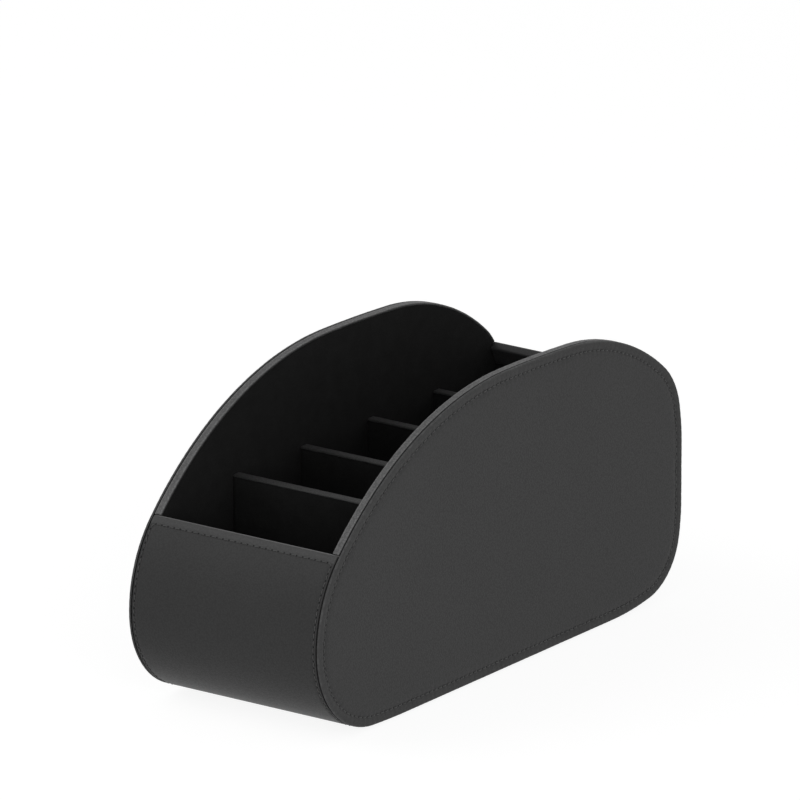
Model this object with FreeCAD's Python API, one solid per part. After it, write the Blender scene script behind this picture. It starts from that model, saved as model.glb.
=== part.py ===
import FreeCAD, Part
import math
import os

# Remote control holder: a leather covered box with two tall rounded side panels, a low lip
# at the front, a second lip at the back, and upright dividers that make five compartments.
# X runs across the holder, Y along it from the lip at -Y to the back at +Y, Z up.
# The origin is on the table, under the middle of the holder.

# Overall size
overall_length = 250.0
overall_width = 93.0
overall_height = 125.6
table_gap = 0.8
shell_height = overall_height - table_gap

# Side outline, seen from +X: lengths from the front tip or from the back wall
crest_from_front = 0.516 * overall_length
base_start_from_front = 0.24 * overall_length
base_end_from_back = 0.196 * overall_length

# Side outline: heights above its base
nose_height = 0.319 * shell_height
back_wall_bottom = 0.3085 * shell_height
back_wall_top = 0.505 * shell_height

# Side outline: where its tangent arcs meet, as the angle that the corner has turned by then
slope_angle = 46.3
front_foot_angle = 87.0
heel_lead_angle = 10.5
heel_corner_angle = 77.0
back_wall_angle = 10.6
shoulder_angle = 50.2
back_slope_angle = 86.7

# Side outline: the radii that are set; the other arcs follow from the lengths above
heel_radius = 0.21 * shell_height
shoulder_radius = 0.258 * shell_height
back_slope_radius = 0.436 * overall_length

# Walls
front_lip_height = 0.6154 * shell_height
back_lip_height = 0.7332 * shell_height
wall_board_thickness = 2.4
side_board_thickness = 2.4
wrap_leather_thickness = 1.0
side_leather_thickness = 1.7
lining_thickness = 0.5
turn_in_thickness = 0.8
turn_in_length = 8.0
lip_cap_thickness = 1.0

# Leather edges
edge_roll_height = 0.3
side_outer_edge_radius = 1.0
side_seam_bevel = 0.35
lip_edge_radius = 0.6
stitch_groove_inset = 4.0
stitch_groove_width = 0.8
stitch_groove_depth = 0.3

# Dividers
divider_count = 4
first_divider_from_front = 0.264 * overall_length
divider_pitch = 0.182 * overall_length
divider_top_height = 0.6513 * overall_height
divider_board_thickness = 3.2

# Pad under the base
pad_end_margin = 4.0
pad_side_margin = 5.0
pad_corner_radius = 8.0

# The shortest edge worth making, and how closely an edge has to lie in a place to be found
shortest_edge = 1e-6
place_tolerance = 1e-3

# Derived places across the holder
half_width = overall_width / 2
seam_x = half_width - side_leather_thickness
board_inner_x = seam_x - side_board_thickness
lining_inner_x = board_inner_x - lining_thickness

# Derived depths below the side outline
wrap_outside = edge_roll_height
board_outside = wrap_outside + wrap_leather_thickness
board_inside = board_outside + wall_board_thickness
lining_inside = board_inside + lining_thickness
turn_in_inside = board_inside + turn_in_thickness

# Derived outline places along Y and Z
front_y = -overall_length / 2
back_y = overall_length / 2
crest_y = front_y + crest_from_front
base_start_y = front_y + base_start_from_front
base_end_y = back_y - base_end_from_back


def corner(start, heading, reach, rise, angles, radii):
    """Tangent arcs that turn left by a quarter circle.

    start is the first point (y, z) and heading its direction in degrees. The arcs end
    reach further along that direction and rise to its left. angles are how far they have
    turned where one arc passes into the next, in degrees. Two of the radii are None, and are
    found from reach and rise.
    Each arc comes back as its start, its heading there, its radius and its turn, in radians.
    """
    knots = [math.radians(angle) for angle in [0.0] + angles + [90.0]]
    along = [math.sin(b) - math.sin(a) for a, b in zip(knots, knots[1:])]
    across = [math.cos(a) - math.cos(b) for a, b in zip(knots, knots[1:])]
    first, second = [i for i, radius in enumerate(radii) if radius is None]
    left_along = reach - sum(r * k for r, k in zip(radii, along) if r is not None)
    left_across = rise - sum(r * k for r, k in zip(radii, across) if r is not None)
    pivot = along[first] * across[second] - along[second] * across[first]
    solved = list(radii)
    solved[first] = (left_along * across[second] - along[second] * left_across) / pivot
    solved[second] = (along[first] * left_across - left_along * across[first]) / pivot

    arcs = []
    y, z = start
    base = math.radians(heading)
    for radius, a, b in zip(solved, knots, knots[1:]):
        arcs.append((y, z, base + a, radius, b - a))
        y += radius * (math.sin(base + b) - math.sin(base + a))
        z += radius * (math.cos(base + a) - math.cos(base + b))
    return arcs


def straight(start, heading, length):
    """A straight stretch of the outline, in the same form as an arc, with a radius of None."""
    return (start[0], start[1], math.radians(heading), None, length)


def outline_up_to_crest():
    """From the front end of the base, along it, round the heel and up the back to the crest."""
    base = straight((base_start_y, 0.0), 0.0, base_end_y - base_start_y)
    heel = corner((base_end_y, 0.0), 0.0, base_end_from_back, back_wall_bottom,
                  [heel_lead_angle, heel_corner_angle], [None, heel_radius, None])
    back_wall = straight((back_y, back_wall_bottom), 90.0, back_wall_top - back_wall_bottom)
    shoulder = corner((back_y, back_wall_top), 90.0, shell_height - back_wall_top, back_y - crest_y,
                      [back_wall_angle, shoulder_angle, back_slope_angle],
                      [None, shoulder_radius, back_slope_radius, None])
    return [base] + heel + [back_wall] + shoulder


def outline_after_crest():
    """From the crest down the long slope, round the nose and back to the base."""
    slope = corner((crest_y, shell_height), 180.0, crest_from_front, shell_height - nose_height,
                   [slope_angle], [None, None])
    foot = corner((front_y, nose_height), 270.0, nose_height, base_start_from_front,
                  [front_foot_angle], [None, None])
    return slope + foot


def stretch_length(stretch):
    radius, extent = stretch[3], stretch[4]
    return extent if radius is None else radius * extent


# The side outline runs anticlockwise seen from +X, and places on it are distances along it.
OUTLINE = outline_up_to_crest() + outline_after_crest()
OUTLINE_LENGTH = sum(stretch_length(stretch) for stretch in OUTLINE)
BASE_END = stretch_length(OUTLINE[0])
CREST = sum(stretch_length(stretch) for stretch in outline_up_to_crest())


def place_on(stretch, distance, depth):
    """The point (y, z) a distance along one stretch, a depth inside the outline."""
    y, z, heading, radius = stretch[:4]
    if radius is None:
        y += distance * math.cos(heading)
        z += distance * math.sin(heading)
        return y - depth * math.sin(heading), z + depth * math.cos(heading)
    centre_y = y - radius * math.sin(heading)
    centre_z = z + radius * math.cos(heading)
    turned = heading + distance / radius
    return (centre_y + (radius - depth) * math.sin(turned),
            centre_z - (radius - depth) * math.cos(turned))


def vector(point):
    """A point of the outline (y, z), lifted so that the holder stands on the table."""
    return FreeCAD.Vector(0.0, point[0], point[1] + table_gap)


def run(depth, start, end):
    """Edges along the outline between two distances along it, a depth inside it.

    The end may lie past the outline's own end, on its second lap.
    """
    edges = []
    passed = 0.0
    for stretch in OUTLINE + OUTLINE:
        length = stretch_length(stretch)
        a = max(start - passed, 0.0)
        b = min(end - passed, length)
        if b - a > shortest_edge:
            first = vector(place_on(stretch, a, depth))
            last = vector(place_on(stretch, b, depth))
            if stretch[3] is None:
                edges.append(Part.LineSegment(first, last).toShape())
            else:
                middle = vector(place_on(stretch, (a + b) / 2, depth))
                edges.append(Part.Arc(first, middle, last).toShape())
        passed += length
    return edges


def point_at(depth, distance):
    """The point a distance along the outline and a depth inside it."""
    distance %= OUTLINE_LENGTH
    passed = 0.0
    for stretch in OUTLINE:
        length = stretch_length(stretch)
        if distance <= passed + length:
            return vector(place_on(stretch, distance - passed, depth))
        passed += length
    return vector(place_on(OUTLINE[0], 0.0, depth))


def distance_at_height(height, below, above):
    """Where the outline reaches a height over its base, between a place below and one above."""
    while abs(above - below) > shortest_edge:
        middle = (below + above) / 2
        if point_at(0.0, middle).z - table_gap > height:
            above = middle
        else:
            below = middle
    return (below + above) / 2


BACK_LIP = distance_at_height(back_lip_height, BASE_END, CREST)
FRONT_LIP = distance_at_height(front_lip_height, OUTLINE_LENGTH, CREST)
WRAP_END = OUTLINE_LENGTH + BACK_LIP


def slab(edges, low_x, high_x):
    """A solid with the face inside these edges, from one X to another."""
    face = Part.Face(Part.Wire(Part.__sortEdges__(edges)))
    face.translate(FreeCAD.Vector(low_x, 0, 0))
    return face.extrude(FreeCAD.Vector(high_x - low_x, 0, 0))


def band(outer_depth, inner_depth, start, end, low_x, high_x):
    """A curved sheet between two depths and two distances along the outline."""
    edges = run(outer_depth, start, end) + run(inner_depth, start, end)
    for distance in (start, end):
        edges.append(Part.LineSegment(point_at(outer_depth, distance),
                                      point_at(inner_depth, distance)).toShape())
    return slab(edges, low_x, high_x)


def panel(depth, low_x, high_x):
    """A flat piece with the whole side outline, a depth inside it."""
    return slab(run(depth, 0.0, OUTLINE_LENGTH), low_x, high_x)


def mirrored(shape):
    return shape.mirror(FreeCAD.Vector(0, 0, 0), FreeCAD.Vector(1, 0, 0))


def edges_in_plane(shape, x):
    """The edges that lie in the plane at this X."""
    return [edge for edge in shape.Edges
            if max(abs(edge.BoundBox.XMin - x), abs(edge.BoundBox.XMax - x)) < place_tolerance]


def side_board():
    """Flat board of a side panel."""
    return panel(board_outside, board_inner_x, seam_x)


def side_leather():
    """Outer leather of a side panel: a rolled edge, and the groove that its stitches pull in."""
    leather = panel(0.0, seam_x, half_width)
    leather = leather.makeFillet(side_outer_edge_radius, edges_in_plane(leather, half_width))
    leather = leather.makeChamfer(side_seam_bevel, edges_in_plane(leather, seam_x))
    groove_floor = half_width - stitch_groove_depth
    groove = panel(stitch_groove_inset, groove_floor, half_width)
    groove = groove.cut(panel(stitch_groove_inset + stitch_groove_width, groove_floor, half_width))
    return leather.cut(groove)


def side_lining():
    """Lining of a side panel: up to the rim, and inside the front and back walls."""
    upper_start = BACK_LIP - lip_cap_thickness
    upper_end = FRONT_LIP + lip_cap_thickness
    edges = run(board_outside, upper_start, upper_end)
    edges += run(board_inside, upper_end, OUTLINE_LENGTH + upper_start)
    for distance in (upper_start, upper_end):
        edges.append(Part.LineSegment(point_at(board_outside, distance),
                                      point_at(board_inside, distance)).toShape())
    return slab(edges, lining_inner_x, board_inner_x)


def rim_strip():
    """Leather strip over the top edge of a side board and its lining, between the lips."""
    return band(wrap_outside, board_outside, BACK_LIP, FRONT_LIP, lining_inner_x, seam_x)


def wrap_board(start, end):
    """Wall board that runs between the side boards."""
    return band(board_outside, board_inside, start, end, -board_inner_x, board_inner_x)


def lip_edges(shape, depth, distance):
    """The edges across the holder at one corner of a lip."""
    corner_point = point_at(depth, distance)
    found = []
    for edge in shape.Edges:
        box = edge.BoundBox
        off_low = math.hypot(box.YMin - corner_point.y, box.ZMin - corner_point.z)
        off_high = math.hypot(box.YMax - corner_point.y, box.ZMax - corner_point.z)
        if max(off_low, off_high) < place_tolerance:
            found.append(edge)
    return found


def wrap_leather():
    """One sheet from the front lip under the base and up the back, turned in at both lips."""
    leather = band(wrap_outside, board_outside, FRONT_LIP, WRAP_END, -seam_x, seam_x)
    turned = turn_in_length + lip_cap_thickness
    front_cap = (FRONT_LIP, FRONT_LIP + lip_cap_thickness)
    back_cap = (WRAP_END - lip_cap_thickness, WRAP_END)
    front_turn_in = (FRONT_LIP, FRONT_LIP + turned)
    back_turn_in = (WRAP_END - turned, WRAP_END)
    pieces = [band(board_outside, board_inside, a, b, -lining_inner_x, lining_inner_x)
              for a, b in (front_cap, back_cap)]
    pieces += [band(board_inside, turn_in_inside, a, b, -lining_inner_x, lining_inner_x)
               for a, b in (front_turn_in, back_turn_in)]
    leather = leather.multiFuse(pieces).removeSplitter()
    rounded = []
    for distance in (FRONT_LIP, WRAP_END):
        for depth in (wrap_outside, turn_in_inside):
            rounded += lip_edges(leather, depth, distance)
    return leather.makeFillet(lip_edge_radius, rounded)


def wrap_lining():
    """Lining of the front wall, the floor and the back wall, between the turned-in leather."""
    turned = turn_in_length + lip_cap_thickness
    return band(board_inside, lining_inside, FRONT_LIP + turned, WRAP_END - turned,
                -lining_inner_x, lining_inner_x)


def divider(y):
    """A divider at one Y: its board, and the lining folded over both faces and the top."""
    half_board = divider_board_thickness / 2
    half_lined = half_board + lining_thickness
    hollow = panel(lining_inside, -lining_inner_x, lining_inner_x)
    board = Part.makeBox(2 * lining_inner_x, 2 * half_board, divider_top_height - lining_thickness,
                         FreeCAD.Vector(-lining_inner_x, y - half_board, 0))
    lined = Part.makeBox(2 * lining_inner_x, 2 * half_lined, divider_top_height,
                         FreeCAD.Vector(-lining_inner_x, y - half_lined, 0))
    board = board.common(hollow)
    lining = lined.common(hollow).cut(board)
    return board, lining


def base_pad():
    """Soft pad under the flat of the base, which the holder stands on."""
    length = base_end_y - base_start_y - 2 * pad_end_margin
    width = 2 * (seam_x - pad_side_margin)
    pad = Part.makeBox(width, length, table_gap + wrap_outside,
                       FreeCAD.Vector(-width / 2, base_start_y + pad_end_margin, 0))
    upright = [edge for edge in pad.Edges if edge.BoundBox.ZLength > table_gap / 2]
    return pad.makeFillet(pad_corner_radius, upright)


def build():
    nodes = {}
    for side, place in (("right", lambda shape: shape), ("left", mirrored)):
        nodes["side_board_" + side] = place(side_board())
        nodes["side_leather_" + side] = place(side_leather())
        nodes["side_lining_" + side] = place(side_lining())
        nodes["rim_strip_" + side] = place(rim_strip())
    nodes["front_board"] = wrap_board(FRONT_LIP + lip_cap_thickness, OUTLINE_LENGTH)
    nodes["base_board"] = wrap_board(0.0, BASE_END)
    nodes["back_board"] = wrap_board(BASE_END, BACK_LIP - lip_cap_thickness)
    nodes["wrap_leather"] = wrap_leather()
    nodes["wrap_lining"] = wrap_lining()
    for number in range(divider_count):
        y = front_y + first_divider_from_front + number * divider_pitch
        board, lining = divider(y)
        nodes["divider_board_%d" % (number + 1)] = board
        nodes["divider_lining_%d" % (number + 1)] = lining
    nodes["base_pad"] = base_pad()
    return nodes


os.makedirs("parts", exist_ok=True)
for name, shape in build().items():
    shape.exportStep("parts/%s.step" % name)
    print("%s: %d solid, %.0f mm3, valid %s" % (name, len(shape.Solids), shape.Volume, shape.isValid()))
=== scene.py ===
import math

import bmesh
import bpy
import numpy as np
from mathutils import Matrix, Vector
from mathutils.kdtree import KDTree


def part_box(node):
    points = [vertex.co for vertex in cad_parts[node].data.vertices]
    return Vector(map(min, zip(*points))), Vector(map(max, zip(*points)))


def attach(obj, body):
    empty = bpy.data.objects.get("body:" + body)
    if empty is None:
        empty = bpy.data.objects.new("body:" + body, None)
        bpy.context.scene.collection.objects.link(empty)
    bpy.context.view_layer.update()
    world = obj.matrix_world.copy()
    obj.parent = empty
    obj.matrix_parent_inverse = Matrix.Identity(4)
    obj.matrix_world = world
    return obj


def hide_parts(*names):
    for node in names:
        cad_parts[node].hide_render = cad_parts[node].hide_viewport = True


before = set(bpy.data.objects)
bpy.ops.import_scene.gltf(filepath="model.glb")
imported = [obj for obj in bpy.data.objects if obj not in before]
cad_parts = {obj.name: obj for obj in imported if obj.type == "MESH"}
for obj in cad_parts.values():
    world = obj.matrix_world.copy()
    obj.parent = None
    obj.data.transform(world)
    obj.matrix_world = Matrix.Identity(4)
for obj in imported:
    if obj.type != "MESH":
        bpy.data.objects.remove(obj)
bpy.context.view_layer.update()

# Lengths are in millimetres up to the point where a mesh, an object or a material is made.
MM = 0.001

# Overall size and side outline, as the solids have them, angles in degrees
OVERALL_LENGTH = 250.0
OVERALL_WIDTH = 93.0
OVERALL_HEIGHT = 125.6
TABLE_GAP = 0.8
SHELL_HEIGHT = OVERALL_HEIGHT - TABLE_GAP
CREST_FROM_FRONT = 0.516 * OVERALL_LENGTH
BASE_START_FROM_FRONT = 0.24 * OVERALL_LENGTH
BASE_END_FROM_BACK = 0.196 * OVERALL_LENGTH
NOSE_HEIGHT = 0.319 * SHELL_HEIGHT
BACK_WALL_BOTTOM = 0.3085 * SHELL_HEIGHT
BACK_WALL_TOP = 0.505 * SHELL_HEIGHT
SLOPE_ANGLE = 46.3
FRONT_FOOT_ANGLE = 87.0
HEEL_LEAD_ANGLE = 10.5
HEEL_CORNER_ANGLE = 77.0
BACK_WALL_ANGLE = 10.6
SHOULDER_ANGLE = 50.2
BACK_SLOPE_ANGLE = 86.7
HEEL_RADIUS = 0.21 * SHELL_HEIGHT
SHOULDER_RADIUS = 0.258 * SHELL_HEIGHT
BACK_SLOPE_RADIUS = 0.436 * OVERALL_LENGTH
FRONT_LIP_HEIGHT = 0.6154 * SHELL_HEIGHT
BACK_LIP_HEIGHT = 0.7332 * SHELL_HEIGHT

# Places across the holder, as the solids have them, and where the side seam's crease is drawn
HALF_WIDTH = OVERALL_WIDTH / 2
SEAM_X = 44.8
CREASE_X = 45.5
RIM_OUTER_X = 45.2
SIDE_FELT_OUTER_X = 42.38
LINING_INNER_X = 41.9
SIDES = ((1, "right"), (-1, "left"))

# Depths below the side outline, as the solids have them
WRAP_OUTSIDE = 0.3
BOARD_OUTSIDE = 1.3
BOARD_INSIDE = 3.7
LINING_INSIDE = 4.2
TURN_IN_INSIDE = 4.5
TURN_IN_END = 9.0

# Dividers and pad, as the solids have them
DIVIDER_COUNT = 4
FIRST_DIVIDER_FROM_FRONT = 0.264 * OVERALL_LENGTH
DIVIDER_PITCH = 0.182 * OVERALL_LENGTH
DIVIDER_TOP = 0.6513 * OVERALL_HEIGHT
DIVIDER_THICKNESS = 4.2
PAD_END_MARGIN = 4.0
PAD_SIDE_MARGIN = 5.0
PAD_CORNER_RADIUS = 8.0

# Stitches: their size, and where their rows run
STITCH_PITCH = 3.0
STITCH_LENGTH = 2.35
THREAD_RADIUS = 0.2
HOLE_WIDTH = 0.75
HOLE_RADIUS = 0.4
ROW_REACH = 2.0
SIDE_STITCH_DEPTH = 4.2
WRAP_STITCH_FROM_CREASE = 1.65
WRAP_STITCH_FROM_LIP = 3.7
WRAP_STITCH_CORNER = 2.0

# Side covers: rolled edge, crease, and how far the stitches pull the leather in
SEAM_ROLL = 0.5
EDGE_INSET = 0.3
SEAM_ROLL_PULL = 0.2
EDGE_ROLL_PULL = 0.35
SIDE_PULL = 0.14
SIDE_PULL_ALONG = 0.35
SIDE_THREAD_SINK = 0.28

# Faint waves round a side cover: their height, and the number and phase of each kind
SIDE_WAVE_HEIGHT = 0.02
SIDE_WAVE_KINDS = ((31, 0.0), (53, 1.0), (17, 2.0))

# Wrap cover: fold at the lips, seam beside the side covers, and the pull of the stitches
FOLD_RADIUS = 0.9
LIP_PROUD = 0.5
LIP_MIDDLE_DEPTH = 2.4
LIP_SWELL = 0.15
LIP_SWELL_AT = 2.2
LIP_SWELL_REACH = 1.2
LIP_ROUNDING = 0.2
LIP_ROUNDING_REACH = 3.0
SEAM_SLOT = 0.32
SEAM_BEND = 0.4
SEAM_DROP = 0.95
LEATHER_SHEET = 0.75
WRAP_DENT = 0.17
WRAP_DENT_REACH = 0.6
WRAP_PULL = 0.14
WRAP_PULL_REACH = 1.0
WRAP_THREAD_SINK = 0.19
ROW_STEP = 1.0
ROW_STEP_AT_LIP = 0.4
ROWS_AT_LIP = 14
EVEN_COLUMNS_X = 40.5
LOOP_STEPS_PER_MM = 10

# Rim covers
RIM_GAP = 0.02
RIM_CORNER = 0.47
RIM_UNDERSIDE = 1.29
RIM_UNEVEN = 0.03

# Felt and strips of the dividers
FELT_FOLD = 1.1
FELT_THICKNESS = 0.48
FELT_CLEARANCE = 0.06
FELT_WAVE = 0.04
FELT_SAG = 0.05
FELT_SAG_REACH = 2.5
STRIP_DROP = 0.75
STRIP_FOLD = 0.6
STRIP_THICKNESS = 0.3
STRIP_PROUD = 0.15
STRIP_RISE = 0.2

# Painted light on the leather: above 0 a painted highlight makes it paler, 1 the palest, and below 0
# painted shade makes it dark.
SIDE_PAINTED_HIGHLIGHT = 0.14
SIDE_PAINTED_GLINTS = 0.2
SIDE_PAINTED_TOP_LIGHT = 0.04
LIP_PAINTED_HIGHLIGHT = 0.17
LIP_CROWN_AT = 0.25
LIP_CROWN_REACH = 0.4
RIM_PAINTED_HIGHLIGHT = 0.12
RIM_PAINTED_HIGHLIGHT_AT = 0.5
RIM_PAINTED_HIGHLIGHT_REACH = 0.3
PAINTED_CREASE_SHADE = 0.95
RIM_INSIDE_PAINTED_SHADE = 0.9

# Light: brightness of the sky and floor, and sizes and places in metres
HORIZON_LIGHT = 0.8
ZENITH_LIGHT = 0.12
FLOOR_BOUNCE = 0.85
FLOOR_SHADE = 0.25
FLOOR_GLOW = 0.89
FLOOR_REACH = 4.0
LIGHT_TARGET = (0.0, 0.0, 0.06)

# Camera, fitted to the photograph: direction, distance, scale and the picture's place
CAMERA_AZIMUTH = 35.849
CAMERA_ELEVATION = 17.532
CAMERA_DISTANCE = 6000.0
PIXELS_PER_MM = 2.495
ORIGIN_PIXEL = (408.41, 650.2)
PICTURE_PIXELS = 800
SENSOR_WIDTH = 36.0
CLIP_RANGE = (500.0, 50000.0)

# No two stitches are quite the same: one seeded set of small differences, from -1 to 1
UNEVEN = np.random.RandomState(7).uniform(-1.0, 1.0, (5, 1024))
UNEVEN_PULL, UNEVEN_LENGTH, UNEVEN_RISE, UNEVEN_TURN, UNEVEN_WIDTH = UNEVEN


# Side outline

def corner(start, heading, reach, rise, angles, radii):
    """Tangent arcs that turn left by a quarter circle; two of the radii are None and solved."""
    knots = [math.radians(angle) for angle in [0.0] + angles + [90.0]]
    ahead = [math.sin(b) - math.sin(a) for a, b in zip(knots, knots[1:])]
    aside = [math.cos(a) - math.cos(b) for a, b in zip(knots, knots[1:])]
    first, second = [i for i, radius in enumerate(radii) if radius is None]
    left_ahead = reach - sum(r * k for r, k in zip(radii, ahead) if r is not None)
    left_aside = rise - sum(r * k for r, k in zip(radii, aside) if r is not None)
    pivot = ahead[first] * aside[second] - ahead[second] * aside[first]
    solved = list(radii)
    solved[first] = (left_ahead * aside[second] - ahead[second] * left_aside) / pivot
    solved[second] = (ahead[first] * left_aside - left_ahead * aside[first]) / pivot
    arcs = []
    y, z = start
    base = math.radians(heading)
    for radius, a, b in zip(solved, knots, knots[1:]):
        arcs.append((y, z, base + a, 1.0 / radius, radius * (b - a)))
        y += radius * (math.sin(base + b) - math.sin(base + a))
        z += radius * (math.cos(base + a) - math.cos(base + b))
    return arcs


def outline_up_to_crest():
    """Stretches from the front end of the flat base, back and up to the crest."""
    front_y, back_y = -OVERALL_LENGTH / 2, OVERALL_LENGTH / 2
    base_start, base_end = front_y + BASE_START_FROM_FRONT, back_y - BASE_END_FROM_BACK
    wall_length = BACK_WALL_TOP - BACK_WALL_BOTTOM
    base = [(base_start, 0.0, 0.0, 0.0, base_end - base_start)]
    heel = corner((base_end, 0.0), 0.0, BASE_END_FROM_BACK, BACK_WALL_BOTTOM,
                  [HEEL_LEAD_ANGLE, HEEL_CORNER_ANGLE], [None, HEEL_RADIUS, None])
    wall = [(back_y, BACK_WALL_BOTTOM, math.pi / 2, 0.0, wall_length)]
    shoulder = corner((back_y, BACK_WALL_TOP), 90.0, SHELL_HEIGHT - BACK_WALL_TOP,
                      OVERALL_LENGTH - CREST_FROM_FRONT,
                      [BACK_WALL_ANGLE, SHOULDER_ANGLE, BACK_SLOPE_ANGLE],
                      [None, SHOULDER_RADIUS, BACK_SLOPE_RADIUS, None])
    return base + heel + wall + shoulder


def outline_after_crest():
    """Stretches from the crest, down the front slope and round the nose to the flat base."""
    front_y = -OVERALL_LENGTH / 2
    slope = corner((front_y + CREST_FROM_FRONT, SHELL_HEIGHT), 180.0, CREST_FROM_FRONT,
                   SHELL_HEIGHT - NOSE_HEIGHT, [SLOPE_ANGLE], [None, None])
    foot = corner((front_y, NOSE_HEIGHT), 270.0, NOSE_HEIGHT, BASE_START_FROM_FRONT,
                  [FRONT_FOOT_ANGLE], [None, None])
    return slope + foot


# Each stretch: start y and z, heading in radians, curvature, length
STRETCHES = np.array(outline_up_to_crest() + outline_after_crest())
ENDS = np.cumsum(STRETCHES[:, 4])
STARTS = ENDS - STRETCHES[:, 4]
OUTLINE_LENGTH = ENDS[-1]
BASE_LENGTH = ENDS[0]
CREST = sum(stretch[4] for stretch in outline_up_to_crest())


def along(distance):
    """The outline's y, z and heading at distances along it. The heading goes on rising."""
    distance = np.asarray(distance, float)
    laps = np.floor(distance / OUTLINE_LENGTH)
    rest = distance - laps * OUTLINE_LENGTH
    index = np.clip(np.searchsorted(STARTS, rest, side="right") - 1, 0, len(STRETCHES) - 1)
    y0, z0, h0, curvature = np.moveaxis(STRETCHES[index, :4], -1, 0)
    gone = rest - STARTS[index]
    bend = np.where(curvature == 0.0, 1.0, curvature)
    heading = h0 + gone * curvature
    y = y0 + np.where(curvature == 0.0, gone * np.cos(h0), (np.sin(heading) - np.sin(h0)) / bend)
    z = z0 + np.where(curvature == 0.0, gone * np.sin(h0), (np.cos(h0) - np.cos(heading)) / bend)
    return y, z, heading + 2 * math.pi * laps


def place(distance, depth, x):
    """Points a distance along the outline, a depth inside it, at x. The last axis is x, y, z."""
    y, z, heading = along(distance)
    y = y - depth * np.sin(heading)
    z = z + depth * np.cos(heading) + TABLE_GAP
    return np.stack(np.broadcast_arrays(np.asarray(x, float), y, z), axis=-1)


def distance_at_height(height, below, above):
    """Where the outline reaches a height over its base, halving between two distances."""
    for halving in range(60):
        middle = (below + above) / 2
        if float(along(middle)[1]) > height:
            above = middle
        else:
            below = middle
    return (below + above) / 2


BACK_LIP = distance_at_height(BACK_LIP_HEIGHT, BASE_LENGTH, CREST)
FRONT_LIP = distance_at_height(FRONT_LIP_HEIGHT, OUTLINE_LENGTH, CREST)
WRAP_END = OUTLINE_LENGTH + BACK_LIP


# Meshes

def grid_faces(rows, columns, offset=0, close_rows=False):
    """Quads of a grid of vertices that are numbered row by row."""
    r = np.arange(rows if close_rows else rows - 1)
    c = np.arange(columns - 1)
    a = (r[:, None] * columns + c[None, :]).ravel()
    b = (((r[:, None] + 1) % rows) * columns + c[None, :]).ravel()
    return [tuple(q) for q in np.stack([a, a + 1, b + 1, b], axis=-1) + offset]


def mesh_object(name, points, faces, material):
    """A smooth shaded object from points in millimetres, with its faces turned outwards."""
    mesh = bpy.data.meshes.new(name)
    mesh.from_pydata((np.asarray(points, float).reshape(-1, 3) * MM).tolist(), [], faces)
    mesh.validate()
    shell = bmesh.new()
    shell.from_mesh(mesh)
    bmesh.ops.recalc_face_normals(shell, faces=shell.faces)
    shell.to_mesh(mesh)
    shell.free()
    mesh.polygons.foreach_set("use_smooth", [True] * len(mesh.polygons))
    mesh.materials.append(material)
    piece = bpy.data.objects.new(name, mesh)
    bpy.context.scene.collection.objects.link(piece)
    return piece


def plate(name, loops, material):
    """A closed body from loops of points, each loop a column, its first and last loop filled."""
    points = np.stack(loops, axis=1)
    rows, columns = points.shape[:2]
    faces = grid_faces(rows, columns, close_rows=True)
    faces.append(tuple(r * columns for r in range(rows)))
    faces.append(tuple(r * columns + columns - 1 for r in reversed(range(rows))))
    return mesh_object(name, points, faces, material)


def sheet_body(name, outer, inner, material):
    """A closed sheet between two grids of the same size."""
    rows, columns = outer.shape[:2]
    count = rows * columns
    faces = grid_faces(rows, columns)
    faces += [tuple(reversed(q)) for q in grid_faces(rows, columns, offset=count)]
    rim = list(range(columns))
    rim += [r * columns + columns - 1 for r in range(1, rows)]
    rim += [(rows - 1) * columns + c for c in reversed(range(columns - 1))]
    rim += [r * columns for r in reversed(range(1, rows - 1))]
    for a, b in zip(rim, rim[1:] + rim[:1]):
        faces.append((a, a + count, b + count, b))
    return mesh_object(name, np.concatenate([outer.reshape(-1, 3), inner.reshape(-1, 3)]),
                       faces, material)


def mark(piece, name, values):
    """One number for each point of a piece, which its leather reads by name."""
    layer = piece.data.attributes.new(name, "FLOAT", "POINT")
    layer.data.foreach_set("value", np.ravel(values).astype(np.float32))


def mark_row(piece, off, travel):
    """Where the stitch row is: 1 on it and 0 past its reach, and the stitches counted along it."""
    mark(piece, "near_row", np.clip(1.0 - off / ROW_REACH, 0.0, 1.0))
    mark(piece, "stitches", travel / STITCH_PITCH)


def finish_piece(piece, slot_name, *nodes):
    """The piece rides on the holder and stands for these nodes, which are hidden. slot_name is not
    used.
    """
    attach(piece, "root")
    if nodes:
        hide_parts(*nodes)
    return piece


def arc(centre, radius, start, end, count):
    """Points (a, b) on an arc, its angles in degrees."""
    angles = np.radians(np.linspace(start, end, count))
    return [(centre[0] + radius * math.cos(t), centre[1] + radius * math.sin(t)) for t in angles]


def bell(off, reach):
    """1 where off is 0, and fading to both sides over about the reach."""
    return np.exp(-(off / reach) ** 2)


# Materials: textures lie in the object's own space, and their scales are in features per metre

NOISE_RANGE = (0.3, 0.7)
WANDER_SCALE = 400.0
WANDER_REACH = 0.6
GRAIN_SMOOTHNESS = 0.35
PORE_SCALE = 5200.0
PORE_HEIGHT = 0.25
CLOUD_SCALE = 28.0
HOLE_DEPTH = 5.0
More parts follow.
